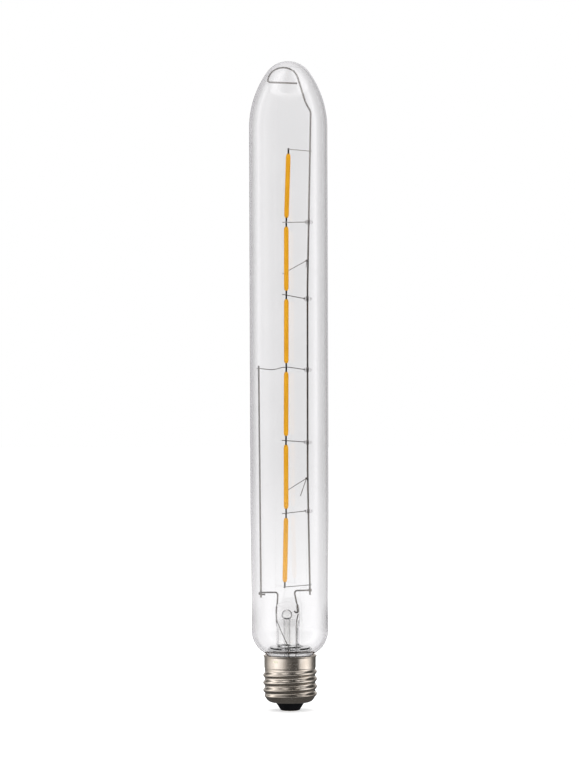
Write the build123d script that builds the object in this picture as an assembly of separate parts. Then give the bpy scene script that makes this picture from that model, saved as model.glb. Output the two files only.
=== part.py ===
from build123d import *
import math
import os

# Light bulb: a long clear tube on a screw cap, with six filaments in two groups of three.
# Sizes are in millimetres. The axis is Z, and Z is 0 at the underside of the centre contact.

# Clearance that stands for a fused, welded or glued seam
seam_gap = 0.02

# How far a cutting form runs past the piece that it cuts
cut_margin = 1.0

# How far the flats of a turned arc may stray from it: on the tube, and on small pieces
tube_stray = 0.05
small_stray = 0.14

# Glass envelope
overall_length = 315.0
bulb_diameter = 38.0
bulb_lower_diameter = 36.9
glass_wall = 0.9
taper_start_height = 92.0
shoulder_height = 38.5
shoulder_radius = 12.0
nose_radius = 12.5
dome_depth = 32.5
neck_diameter = 23.2
neck_fillet = 2.0
neck_end_height = 21.0

# Stem that closes the envelope and holds the mount
flange_height = 30.7
flange_edge_radius = 1.3
flange_fillet = 2.4
stem_offset = -1.1
stem_tube_diameter = 11.2
stem_wall = 1.0
pinch_start_height = 40.0
pinch_blend_length = 4.8
pinch_length = 8.0
pinch_shoulder_drop = 1.5
pinch_width = 11.8
pinch_thickness = 3.8
pinch_hollow_thickness = 0.8
bubble_diameter = 6.3
bubble_bore = 4.4
bubble_rise = 1.7
bubble_offset = -1.4
vent_diameter = 1.6

# Exhaust tube, sealed off inside the cap
exhaust_diameter = 3.4
exhaust_bore = 2.0
exhaust_seat = 0.4
exhaust_tip_height = 13.0

# Screw cap shell, pressed and rolled from thin sheet
cap_height = 26.8
shell_wall = 0.3
crest_diameter = 26.15
root_diameter = 24.4
thread_pitch = 3.629
crest_land = 0.72
flank_angle = 38.6
thread_phase = 138.0
thread_top_height = 20.4
thread_bottom_height = 5.9
thread_run_out = 1.4
collar_diameter = 25.0
lip_diameter = 26.0
lip_height = 1.0
shell_floor_height = 4.0
shell_floor_radius = 3.9
shell_mouth_diameter = 14.1

# Black glass insulator and centre contact
insulator_bottom_height = 0.2
insulator_bottom_diameter = 9.2
insulator_flange_diameter = 16.4
insulator_top_height = 5.6
insulator_edge = 0.5
contact_diameter = 8.0
contact_thickness = 0.7
contact_edge = 0.25
eyelet_diameter = 2.4
eyelet_bore = 1.6
eyelet_rise = 0.4
countersink_diameter = 3.0
countersink_depth = 0.5

# Ring of basing cement between neck and collar
cement_end_gap = 0.8

# Solder spot on the collar, over the end of the return wire
spot_azimuth = 236.0
spot_height = 24.4
spot_length = 3.4
spot_width = 1.3
spot_proud = 0.35
spot_hole_diameter = 1.0

# Wire gauges, and the flats round a wire, few because wires are many and thin
wire_flats = 8
lead_diameter = 0.8
support_diameter = 0.9
cross_diameter = 0.38
spring_diameter = 0.4
seal_wire_diameter = 0.4
hookup_diameter = 0.44

# Filament string: the junctions that carry it, from the top down, as x and height over the press
string_plan = [
    (0.1, 219.5),
    (-1.1, 184.0),
    (-1.2, 148.7),
    (-1.35, 113.7),
    (-1.6, 78.1),
    (-1.65, 42.9),
    (-2.45, 7.1),
]
filament_length = 31.0
filament_diameter = 2.35
filament_tip_diameter = 1.5
filament_taper = 1.6
terminal_width = 0.8
terminal_thickness = 0.3
terminal_seat = 0.8
terminal_overhang = 0.5

# Right support wire: its side, with heights over the press
support_right_side = [(9.8, 0.0, 3.2), (8.85, 0.0, 62.2), (9.1, 0.0, 152.2)]

# The hook at its top, with depths under the top of the dome, that steadies it in the dome
support_right_hook = [
    (10.95, 0.0, 24.7),
    (8.4, 0.0, 19.9),
    (3.15, 0.6, 2.9),
    (-8.15, 0.6, 2.9),
    (-10.13, -0.8, 10.3),
    (4.3, -4.2, 11.3),
]
support_right_bends = [150.0, 150.0, 3.5, 6.0, 7.3, 7.3, 1.3]

# Left support wire, straight, as x and height over the press
support_left_foot = (-14.02, 2.0)
support_left_end = (-14.75, 114.5)

# Glass beads that insulate the right support wire where cross wires meet it
bead_diameter = 4.0
bead_height = 3.0
bead_end_diameter = 2.2
bead_belt = 1.4
bead_plan = [184.1, 146.9, 112.5, 77.4, 44.0]
cross_tail = 2.0
cross_seat = 0.9

# Cross wires at the ends of the string, each welded a little inwards of its junction
end_drop = 1.0
end_tail = 0.7
end_overrun = 0.9

# Cross wire at the middle junction, which reaches on to the left support wire
middle_tail = 1.0
middle_weld_drop = 0.6
middle_sag = 1.3
middle_flat = 1.5
middle_bends = [2.0, 12.0, 4.0, 8.0]

# Spring wires that steady the right support wire against the tube, with heights over the press
spring_weld_plan = [165.4, 59.7]
spring_back_plan = [(-3.1, 159.7), (-2.2, 52.6)]
spring_front_plan = [(8.25, 161.7), (5.2, 52.0)]
spring_bend = 0.7
spring_weld_diameter = 1.3

# Lead wires to the support wires: feet by their height in the press, tops by theirs over it
lead_foot_rise = 2.1
lead_left_x = -6.45
lead_left_plan = (-5.75, 4.5)
hook_drop = 1.1
hook_tail = 3.0
lead_right_foot = (2.05, 3.4)
lead_right_x = 3.75
lead_right_knee = (3.38, 6.8)
lead_right_plan = (2.05, 5.3)
lead_right_end_rise = 0.2
lead_bend = 1.4
lead_foot_bend = 0.55
lead_knee_bend = 8.0
hook_bend_share = 0.9
lead_weld_diameter = 2.0

# Driver board inside the cap and what it carries
board_height = 6.6
board_thickness = 1.0
board_hole_gap = 0.1
rectifier_size = (4.7, 3.8, 2.4)
rectifier_place = (-6.6, 3.6)
chip_size = (4.9, 3.9, 1.5)
chip_place = (4.4, -5.6)
block_edge = 0.25
capacitor_diameter = 6.3
capacitor_height = 8.0
capacitor_place = (5.6, 3.6)
capacitor_edge = 0.5
choke_diameter = 5.8
choke_height = 6.0
choke_flange = 0.9
choke_core_diameter = 2.6
choke_winding_diameter = 5.0
choke_place = (-6.0, -2.6)
resistor_diameter = 2.4
resistor_length = 5.6
resistor_place = (-0.2, 7.9)
resistor_leg_diameter = 0.5
resistor_leg_bend = 0.6
resistor_clearance = 0.3
wire_reach = 0.6

# Thin wires from the leads down through the stem tube to the board, with depths under the press
seal_left_foot = (-1.6, -6.6)
seal_left_plan = [(-5.9, 0, 1.8), (-4.9, -1.2, 4.6), (-0.7, -2.9, 14.1)]
seal_left_bends = [4.0, 4.0, 6.0, 5.0]
seal_right_foot = (2.2, -1.6)
seal_right_plan = [(3.1, 0, 1.6), (3.0, -0.4, 13.8)]
seal_right_bends = [6.0, 6.0, 5.0]
seal_drop = 1.0

# Wire from the board to the collar, which swings out to pass up beside the neck
return_setback = 0.7
return_swing = 2.2
return_bends = [2.0, 1.5]

# Radii and heights that follow from the sizes above
bulb_radius = bulb_diameter / 2
bulb_lower_radius = bulb_lower_diameter / 2
neck_radius = neck_diameter / 2
stem_skirt_radius = neck_radius - glass_wall - seam_gap
root_radius = root_diameter / 2
collar_radius = collar_diameter / 2
thread_depth = (crest_diameter - root_diameter) / 2
board_top = board_height + board_thickness
return_radius = neck_radius - return_setback
pinch_height = pinch_start_height + pinch_blend_length
pinch_top_height = pinch_height + pinch_length
bubble_height = pinch_height + bubble_rise
exhaust_top_height = pinch_height - exhaust_seat
lead_foot_height = pinch_height + lead_foot_rise
seal_drop_height = neck_end_height - seal_drop


def over_press(points):
    """Points whose last number is a height over the press, with their true heights."""
    return [(*point[:-1], pinch_top_height + point[-1]) for point in points]


def under(top, points):
    """Points whose last number is a depth under a height, with their true heights."""
    return [(*point[:-1], top - point[-1]) for point in points]


string_nodes = over_press(string_plan)
support_right_points = over_press(support_right_side) + under(overall_length, support_right_hook)


def turned(points):
    """A solid turned about the axis from a closed outline of radius and height pairs."""
    with BuildSketch(Plane.XZ) as sketch:
        with BuildLine():
            Polyline(*points, close=True)
        make_face()
    return revolve(sketch.sketch, Axis.Z)


def flats(centre, radius, start, span, stray=small_stray):
    """Points along an arc, as far apart as how far its flats may stray from it allows."""
    reach = 2 * math.degrees(math.acos(1 - min(1.0, stray / radius)))
    steps = math.ceil(abs(span) / reach)
    points = []
    for step in range(steps + 1):
        angle = math.radians(start + span * step / steps)
        across = centre[0] + radius * math.cos(angle)
        up = centre[1] + radius * math.sin(angle)
        points.append((across, up))
    return points


def ball(diameter):
    """A small round lump about the origin."""
    return turned(flats((0, 0), diameter / 2, -90, 180))


def bent_wire(points, diameter, bends):
    """A wire along straight runs that are joined by tangent arcs."""
    path = FilletPolyline(*points, radius=bends)
    section = Plane(origin=path @ 0, z_dir=path % 0) * RegularPolygon(diameter / 2, wire_flats)
    return sweep(section, path=path)


def straight_wire(start, end, diameter):
    """A wire between two points."""
    run = Vector(*end) - Vector(*start)
    section = Plane(origin=start, z_dir=run) * RegularPolygon(diameter / 2, wire_flats)
    return extrude(section, amount=run.length, dir=run.normalized())


def x_at_height(points, height):
    """Where a bent wire, given by its points, stands at a height."""
    for (x0, _, z0), (x1, _, z1) in zip(points, points[1:]):
        if z0 <= height <= z1:
            return x0 + (x1 - x0) * (height - z0) / (z1 - z0)
    raise ValueError("the wire doesn't reach that height")


def bulb_body(inset, bottom):
    """The solid inside the envelope's outline, moved inwards by inset and closed at bottom."""
    dome_base = overall_length - dome_depth
    rise = dome_depth - nose_radius
    side_radius = (rise**2 + bulb_radius**2 - nose_radius**2) / (2 * (bulb_radius - nose_radius))
    side_centre = (bulb_radius - side_radius, dome_base)
    nose_centre = (0.0, overall_length - nose_radius)
    blend = math.degrees(math.atan2(nose_centre[1] - dome_base, -side_centre[0]))
    shoulder_centre = (bulb_lower_radius - shoulder_radius, shoulder_height)
    hollow_x = neck_radius + neck_fillet
    drop = math.sqrt((shoulder_radius + neck_fillet) ** 2 - (hollow_x - shoulder_centre[0]) ** 2)
    hollow_centre = (hollow_x, shoulder_height - drop)
    turn = math.degrees(math.atan2(drop, hollow_x - shoulder_centre[0]))
    return turned(
        flats(nose_centre, nose_radius - inset, 90, blend - 90, tube_stray)
        + flats(side_centre, side_radius - inset, blend, -blend, tube_stray)[1:]
        + [(bulb_radius - inset, taper_start_height)]
        + flats(shoulder_centre, shoulder_radius - inset, 0, -turn, tube_stray)
        + flats(hollow_centre, neck_fillet + inset, 180 - turn, turn, tube_stray)[1:]
        + [(neck_radius - inset, bottom), (0, bottom)]
    )


def glass_envelope():
    """The blown tube with its dome, shoulder and open neck."""
    outside = bulb_body(0.0, neck_end_height)
    inside = bulb_body(glass_wall, neck_end_height - glass_wall)
    return outside - inside


def closing_wedge(inset, thickness, bottom):
    """A broad form that narrows to a thickness where the stem tube is pressed shut."""
    broad = stem_skirt_radius
    foot = pinch_width / 2 - inset
    half = thickness / 2
    top = pinch_height - inset
    slope = (top - pinch_start_height) / (foot - half)
    low = pinch_start_height - (broad - foot) * slope
    with BuildSketch(Plane.YZ) as side:
        with BuildLine():
            Polyline(
                (-half, top), (half, top), (broad, low), (broad, bottom), (-broad, bottom),
                (-broad, low), close=True,
            )
        make_face()
    return extrude(side.sketch, amount=broad, both=True)


def stem_form(inset, thickness, bottom):
    """The stem's outside up to its press, or with an inset the hollow in its flange and tube."""
    skirt = stem_skirt_radius - inset
    edge = flange_edge_radius - inset
    edge_centre = (stem_skirt_radius - flange_edge_radius, flange_height - flange_edge_radius)
    tube = stem_tube_diameter / 2
    throat_centre = (tube + flange_fillet, flange_height + flange_fillet)
    top = pinch_height - inset
    cup = turned(
        [(0, bottom), (skirt, bottom)]
        + flats(edge_centre, edge, 0, 90)
        + [(0, flange_height - inset)]
    )
    pipe = turned(
        [(0, bottom), (throat_centre[0], bottom)]
        + flats(throat_centre, flange_fillet + inset, -90, -90)
        + [(tube - inset, pinch_start_height), (pinch_width / 2 - inset, top), (0, top)]
    )
    pipe = pipe & closing_wedge(inset, thickness, bottom)
    return cup + Pos(stem_offset, 0, 0) * pipe


def pinch():
    """The flat press over the stem tube, rounded at its sides and its top."""
    radius = pinch_width / 2
    edge = radius + cut_margin
    shoulder = pinch_top_height - pinch_shoulder_drop
    with BuildSketch(Plane.XZ) as front:
        with BuildLine():
            ThreePointArc((-edge, shoulder), (0, pinch_top_height), (edge, shoulder))
            Polyline(
                (edge, shoulder), (edge, pinch_height), (-edge, pinch_height), (-edge, shoulder)
            )
        make_face()
    slab = extrude(front.sketch, amount=pinch_thickness / 2, both=True)
    barrel = Pos(0, 0, pinch_height) * extrude(Circle(radius), amount=pinch_length)
    return Pos(stem_offset, 0, 0) * (slab & barrel)


def exhaust_tube():
    """The thin tube that the bulb was filled through, with its tip melted shut."""
    outer = exhaust_diameter / 2
    inner = exhaust_bore / 2
    tip_centre = (0, exhaust_tip_height + outer)
    profile = turned(
        flats(tip_centre, outer, -90, 90)
        + [(outer, exhaust_top_height), (inner, exhaust_top_height)]
        + [(inner, tip_centre[1]), (0, tip_centre[1] - inner)]
    )
    return Pos(bubble_offset, 0, 0) * profile


def stem_glass(wires):
    """Flange, tube and press of the stem, with the vent that opens the exhaust tube."""
    bubble = Pos(bubble_offset, 0, bubble_height)
    solid = stem_form(0.0, pinch_thickness, neck_end_height) + pinch()
    solid = solid + bubble * ball(bubble_diameter)
    hollow = stem_form(stem_wall, pinch_hollow_thickness, neck_end_height - stem_wall)
    socket_height = exhaust_top_height + seam_gap
    socket = Pos(bubble_offset, 0, 0) * extrude(
        Circle(exhaust_diameter / 2 + seam_gap), amount=socket_height
    )
    vent = Plane(origin=(bubble_offset, 0, bubble_height), z_dir=(0, -1, 0)) * extrude(
        Circle(vent_diameter / 2), amount=bubble_diameter
    )
    solid = solid - hollow - socket - bubble * ball(bubble_bore) - vent
    for wire in wires:
        solid = solid - wire
    return solid


def thread_ridge(inset):
    """One rolled ridge wound from below the thread to above it."""
    slope = math.radians(flank_angle)
    crest = crest_diameter / 2 - inset
    land = crest_land / 2 - inset * math.tan(slope / 2)
    foot = root_radius - inset - shell_wall / 2
    spread = land + (crest - foot) / math.tan(slope)
    with BuildSketch(Plane.XZ) as section:
        with BuildLine():
            Polyline((crest, -land), (crest, land), (foot, spread), (foot, -spread), close=True)
        make_face()
    start = thread_bottom_height - thread_pitch
    rise = thread_top_height + thread_pitch - start
    turn = Rot(0, 0, thread_phase)
    winding = Helix(thread_pitch, rise, root_radius - inset)
    return Pos(0, 0, start) * (turn * sweep(section.sketch, path=winding, is_frenet=True))


def thread_zone(inset):
    """The turned form that the ridge rises from and runs out in."""
    proud = crest_diameter / 2 - inset + seam_gap
    root = root_radius - inset
    return turned(
        [
            (0, thread_bottom_height),
            (root - thread_run_out, thread_bottom_height),
            (proud, thread_bottom_height + 2 * thread_run_out),
            (proud, thread_top_height - thread_run_out),
            (root - shell_wall, thread_top_height),
            (0, thread_top_height),
        ]
    )


def floor_bend(inset):
    """The rounding from the shell's floor up into its side, as radius and height pairs."""
    centre = (root_radius - shell_floor_radius, shell_floor_height + shell_floor_radius)
    return flats(centre, shell_floor_radius - inset, -90, 90)


def shell_form(inset):
    """The shell's outside, or with an inset its inside up through the rim, as one solid."""
    root = root_radius - inset
    collar = collar_radius - inset
    lip = lip_diameter / 2 - inset
    flare = (lip_diameter / 2 - collar_radius) / lip_height
    core = turned(
        [(0, shell_floor_height + inset)]
        + floor_bend(inset)
        + [
            (root, thread_top_height - thread_depth / 2),
            (collar, thread_top_height),
            (collar, cap_height - lip_height),
            (lip + inset * flare, cap_height + inset),
            (0, cap_height + inset),
        ]
    )
    return core + (thread_ridge(inset) & thread_zone(inset))


def spot_plane(radius):
    """A plane that faces outwards from the collar at the solder spot."""
    azimuth = math.radians(spot_azimuth)
    outwards = (math.cos(azimuth), math.sin(azimuth), 0)
    along = (-math.sin(azimuth), math.cos(azimuth), 0)
    origin = (radius * outwards[0], radius * outwards[1], spot_height)
    return Plane(origin=origin, x_dir=along, z_dir=outwards)


def cap_shell():
    """The rolled screw shell, open at the rim and with a round mouth for the insulator."""
    outside = shell_form(0.0)
    inside = shell_form(shell_wall)
    mouth = extrude(Circle(shell_mouth_diameter / 2), amount=cap_height / 2)
    spot_hole = spot_plane(neck_radius) * extrude(
        Circle(spot_hole_diameter / 2 + seam_gap), amount=collar_radius - neck_radius + cut_margin
    )
    return outside - inside - mouth - spot_hole


def collar_solder():
    """The solder spot on the collar, keyed through the hole under it."""
    plug = spot_plane(collar_radius - shell_wall) * extrude(
        Circle(spot_hole_diameter / 2), amount=shell_wall + spot_proud / 2
    )
    pad = spot_plane(collar_radius - spot_proud) * extrude(
        SlotOverall(spot_length, spot_width), amount=2 * spot_proud
    )
    skin = Pos(0, 0, cap_height / 2) * Cylinder(collar_radius + seam_gap, cap_height)
    return (pad - skin) + plug


def cap_insulator():
    """The black glass cone that carries the centre contact in the shell's mouth."""
    mouth = shell_mouth_diameter / 2 - seam_gap
    seat = shell_floor_height + shell_wall + seam_gap
    body = turned(
        [
            (0, insulator_bottom_height),
            (insulator_bottom_diameter / 2, insulator_bottom_height),
            (mouth, shell_floor_height),
            (mouth, seat),
            (insulator_flange_diameter / 2, seat),
            (insulator_flange_diameter / 2, insulator_top_height),
            (0, insulator_top_height),
        ]
    )
    body = chamfer(body.edges().sort_by(Axis.Z)[0], insulator_edge)
    pocket = extrude(Circle(contact_diameter / 2 + seam_gap), amount=contact_thickness + seam_gap)
    hole = extrude(Circle(eyelet_diameter / 2 + seam_gap), amount=insulator_top_height)
    return body - pocket - hole


def centre_contact():
    """The contact plate with its eyelet up through the insulator."""
    plate = extrude(Circle(contact_diameter / 2), amount=contact_thickness)
    plate = chamfer(plate.edges().sort_by(Axis.Z)[0], contact_edge)
    eyelet = extrude(Circle(eyelet_diameter / 2), amount=insulator_top_height + eyelet_rise)
    bore = extrude(Circle(eyelet_bore / 2), amount=insulator_top_height + eyelet_rise)
    sink = turned(
        [
            (0, 0),
            (countersink_diameter / 2, 0),
            (eyelet_bore / 2, countersink_depth),
            (0, countersink_depth),
        ]
    )
    return plate + eyelet - bore - sink


def contact_solder(wire):
    """The solder that fills the contact's countersink round the end of the wire."""
    gap = seam_gap
    plug = turned(
        [
            (0, gap),
            (countersink_diameter / 2 - 2 * gap, gap),
            (eyelet_bore / 2 - gap, countersink_depth),
            (eyelet_bore / 2 - gap, 2 * countersink_depth),
            (0, 2 * countersink_depth),
        ]
    )
    return plug - wire


def basing_cement(wire):
    """The ring of cement between the glass neck and the collar."""
    inner = neck_radius + seam_gap
    outer = collar_radius - shell_wall - seam_gap
    low = neck_end_height
    high = cap_height - lip_height - cement_end_gap
    return turned([(inner, low), (outer, low), (outer, high), (inner, high)]) - wire


def support_right():
    """The support wire that carries the filaments, with the hook at its top."""
    return bent_wire(support_right_points, support_diameter, support_right_bends)


def support_left():
    """The straight support wire that feeds the middle of the string."""
    (low_x, low_z), (top_x, top_z) = over_press([support_left_foot, support_left_end])
    return straight_wire((low_x, 0, low_z), (top_x, 0, top_z), support_diameter)


def touching(first, second):
    """How far apart the axes of two crossing wires lie when they are welded."""
    return (first + second) / 2 + seam_gap


def lead_left():
    """The left lead, from the press to a hook round the left support wire."""
    reach = touching(lead_diameter, support_diameter)
    x0, _ = support_left_foot
    top_x, top_z = over_press([lead_left_plan])[0]
    points = [
        (lead_left_x, 0, lead_foot_height),
        (top_x, 0, top_z),
        (x0 - reach, -reach, top_z),
        (x0 - reach, reach, top_z - hook_drop),
        (x0 - reach + hook_tail, reach, top_z - hook_drop),
    ]
    hook_bend = reach * hook_bend_share
    return bent_wire(points, lead_diameter, [lead_bend, hook_bend, hook_bend])


def lead_right(support):
    """The right lead, from its turned foot in the press to its weld on the right support."""
    reach = touching(lead_diameter, support_diameter)
    foot_x, foot_rise = lead_right_foot
    knee_x, knee_rise = lead_right_knee
    top_x, top_z = over_press([lead_right_plan])[0]
    end_z = top_z + lead_right_end_rise
    end_x = x_at_height(support_right_points, end_z)
    points = [
        (foot_x, 0, pinch_height + foot_rise),
        (lead_right_x, 0, lead_foot_height),
        (knee_x, 0, pinch_height + knee_rise),
        (top_x, 0, top_z),
        (end_x, -reach, end_z),
    ]
    wire = bent_wire(points, lead_diameter, [lead_foot_bend, lead_knee_bend, lead_bend])
    weld = Pos(end_x, -reach / 2, end_z) * ball(lead_weld_diameter)
    return wire + weld - support


def seal_wire_left():
    """The thin wire from the left lead through the stem tube to the driver board."""
    foot_x, foot_y = seal_left_foot
    points = [
        (lead_left_x, 0, lead_foot_height - seam_gap),
        *under(pinch_height, seal_left_plan),
        (foot_x, foot_y, seal_drop_height),
        (foot_x, foot_y, board_top - wire_reach),
    ]
    return bent_wire(points, seal_wire_diameter, seal_left_bends)


def seal_wire_right(lead):
    """The thin wire from the right lead through the stem tube to the driver board."""
    foot_x, foot_y = seal_right_foot
    points = [
        (lead_right_x, 0, lead_foot_height),
        *under(pinch_height, seal_right_plan),
        (foot_x, foot_y, seal_drop_height),
        (foot_x, foot_y, board_top - wire_reach),
    ]
    return bent_wire(points, seal_wire_diameter, seal_right_bends) - lead


def string_segment(index):
    """The upper and lower junction of a filament, as points in the filament plane."""
    (x0, z0), (x1, z1) = string_nodes[index], string_nodes[index + 1]
    return Vector(x0, 0, z0), Vector(x1, 0, z1)


def filament_place(index):
    """The frame of a filament: its middle, with its length along the local Z axis."""
    upper, lower = string_segment(index)
    return Plane(origin=(upper + lower) / 2, x_dir=(1, 0, 0), z_dir=upper - lower)


def terminals(index):
    """The two flat metal ends of a filament, from its coating to the junctions."""
    upper, lower = string_segment(index)
    half = (upper - lower).length / 2
    start = filament_length / 2 - terminal_seat
    first = index == 0
    last = index == len(string_nodes) - 2
    top = half + terminal_overhang if first else half - seam_gap
    bottom = half + terminal_overhang if last else half - seam_gap
    place = filament_place(index)
    upper_end = Pos(0, 0, (start + top) / 2) * Box(terminal_width, terminal_thickness, top - start)
    lower_end = Pos(0, 0, -(start + bottom) / 2) * Box(
        terminal_width, terminal_thickness, bottom - start
    )
    return place * upper_end, place * lower_end


def filament(index):
    """The coated body of a filament, with a pocket at each end for its terminal."""
    half = filament_length / 2
    radius = filament_diameter / 2
    tip = filament_tip_diameter / 2
    body = turned(
        [
            (0, -half),
            (tip, -half),
            (radius, filament_taper - half),
            (radius, half - filament_taper),
            (tip, half),
            (0, half),
        ]
    )
    upper_end, lower_end = terminals(index)
    return filament_place(index) * body - upper_end - lower_end


def cross_height():
    """How far in front of the filament plane the cross wires run."""
    return -touching(terminal_thickness, cross_diameter)


def bead_centre(index):
    """The middle of a bead on the right support wire."""
    height = pinch_top_height + bead_plan[index]
    return Vector(x_at_height(support_right_points, height), 0, height)


def cross_wire(index):
    """The cross wire from an inner junction to the bead beside it."""
    x0, z0 = string_nodes[index + 1]
    centre = bead_centre(index)
    front = cross_height()
    junction = Vector(x0, front, z0)
    end = Vector(centre.X - cross_seat, front, centre.Z)
    start = junction - (end - junction).normalized() * cross_tail
    return straight_wire(start, end, cross_diameter)


def middle_cross_wire(index):
    """The cross wire that also reaches left, to its weld on the left support wire."""
    x0, z0 = string_nodes[index + 1]
    centre = bead_centre(index)
    front = cross_height()
    support_front = -touching(support_diameter, cross_diameter)
    left_x, _ = support_left_end
    points = [
        (left_x - middle_tail, support_front, z0 - middle_weld_drop),
        (left_x + middle_tail, support_front, z0 - middle_weld_drop),
        ((left_x + x0) / 2, front, z0 - middle_sag),
        (x0 - middle_flat, front, z0),
        (x0 + middle_flat, front, z0),
        (centre.X - cross_seat, front, centre.Z),
    ]
    return bent_wire(points, cross_diameter, middle_bends)


def end_cross_wire(index, drop):
    """A cross wire from an end of the string to its weld on the right support wire."""
    x0, z0 = string_nodes[index]
    support_x = x_at_height(support_right_points, z0 - drop)
    junction = Vector(x0, cross_height(), z0)
    weld = Vector(support_x, -touching(support_diameter, cross_diameter), z0 - drop)
    along = (weld - junction).normalized()
    return straight_wire(junction - along * end_tail, weld + along * end_overrun, cross_diameter)


def glass_bead(index, wires):
    """A bead fused round the right support wire, holding the end of a cross wire."""
    radius = bead_diameter / 2
    end = bead_end_diameter / 2
    bead = turned(
        [
            (0, -bead_height / 2),
            (end, -bead_height / 2),
            (radius, -bead_belt / 2),
            (radius, bead_belt / 2),
            (end, bead_height / 2),
            (0, bead_height / 2),
        ]
    )
    bead = Pos(*bead_centre(index)) * bead
    for wire in wires:
        bead = bead - wire
    return bead


def support_spring(index, support):
    """A bent spring wire, welded to the right support wire and resting on the tube's wall."""
    reach = bulb_radius - glass_wall - spring_diameter / 2 - seam_gap
    weld_z = pinch_top_height + spring_weld_plan[index]
    weld_x = x_at_height(support_right_points, weld_z) - touching(
        spring_diameter, support_diameter
    )
    back_x, back_z = over_press(spring_back_plan)[index]
    front_x, front_z = over_press(spring_front_plan)[index]
    points = [
        (back_x, math.sqrt(reach**2 - back_x**2), back_z),
        (weld_x, 0, weld_z),
        (front_x, -math.sqrt(reach**2 - front_x**2), front_z),
    ]
    wire = bent_wire(points, spring_diameter, spring_bend)
    weld = Pos(weld_x, 0, weld_z) * ball(spring_weld_diameter)
    return wire + weld - support


def board_radius():
    """The radius at which the board's lower edge meets the shell's rounded floor."""
    bend = [(across, 0, up) for across, up in floor_bend(shell_wall)]
    return x_at_height(bend, board_height) - seam_gap


def driver_board(feet):
    """The round circuit board, drilled for the wires that end in it."""
    board = Pos(0, 0, board_height) * extrude(Circle(board_radius()), amount=board_thickness)
    for (x, y), diameter in feet:
        drill = Pos(x, y, board_height) * extrude(
            Circle(diameter / 2 + board_hole_gap), amount=board_thickness
        )
        board = board - drill
    return board


def on_board(size, place):
    """A moulded block with softened top edges that stands on the board."""
    width, depth, height = size
    block = Pos(place[0], place[1], board_top + seam_gap + height / 2) * Box(width, depth, height)
    return chamfer(block.faces().sort_by(Axis.Z)[-1].edges(), block_edge)


def capacitor():
    """The smoothing capacitor's can, upright on the board."""
    can = Pos(*capacitor_place, board_top + seam_gap) * extrude(
        Circle(capacitor_diameter / 2), amount=capacitor_height
    )
    return chamfer(can.edges().sort_by(Axis.Z)[-1], capacitor_edge)


def choke_core():
    """The choke's ferrite drum."""
    flange = choke_diameter / 2
    core = choke_core_diameter / 2
    drum = turned(
        [
            (0, 0),
            (flange, 0),
            (flange, choke_flange),
            (core, choke_flange),
            (core, choke_height - choke_flange),
            (flange, choke_height - choke_flange),
            (flange, choke_height),
            (0, choke_height),
        ]
    )
    return Pos(*choke_place, board_top + seam_gap) * drum


def choke_winding():
    """The copper winding between the drum's flanges."""
    inner = choke_core_diameter / 2 + seam_gap
    outer = choke_winding_diameter / 2
    low = choke_flange + seam_gap
    high = choke_height - choke_flange - seam_gap
    coil = turned([(inner, low), (outer, low), (outer, high), (inner, high)])
    return Pos(*choke_place, board_top + seam_gap) * coil


def resistor_feet():
    """Where the fusible resistor's two legs go into the board."""
    x, y = resistor_place
    half = resistor_length / 2 + resistor_diameter / 2
    return (x - half, y), (x + half, y)


def fusible_resistor():
    """The fusible resistor, lying over the board on its two bent legs."""
    x, y = resistor_place
    (left, _), (right, _) = resistor_feet()
    height = board_top + resistor_diameter / 2 + resistor_clearance
    low = board_top - wire_reach
    points = [(left, y, low), (left, y, height), (right, y, height), (right, y, low)]
    legs = bent_wire(points, resistor_leg_diameter, resistor_leg_bend)
    barrel = straight_wire(
        (x - resistor_length / 2, y, height), (x + resistor_length / 2, y, height), resistor_diameter
    )
    return barrel + legs


def beside_spot(radius, height):
    """A point at a radius and height, in line with the solder spot."""
    azimuth = math.radians(spot_azimuth)
    return (radius * math.cos(azimuth), radius * math.sin(azimuth), height)


def return_wire():
    """The wire from the board, up beside the neck, to the collar's solder spot."""
    gap_radius = (neck_radius + collar_radius - shell_wall) / 2
    points = [
        beside_spot(return_radius, board_top - wire_reach),
        beside_spot(return_radius, neck_end_height - return_swing),
        beside_spot(gap_radius, neck_end_height),
        beside_spot(gap_radius, spot_height),
    ]
    return bent_wire(points, hookup_diameter, return_bends)


def return_foot():
    """Where the return wire goes into the board."""
    x, y, _ = beside_spot(return_radius, board_top)
    return x, y


def contact_wire():
    """The straight wire from the board down to the centre contact."""
    return straight_wire(
        (0, 0, countersink_depth), (0, 0, board_height + wire_reach), hookup_diameter
    )


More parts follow.
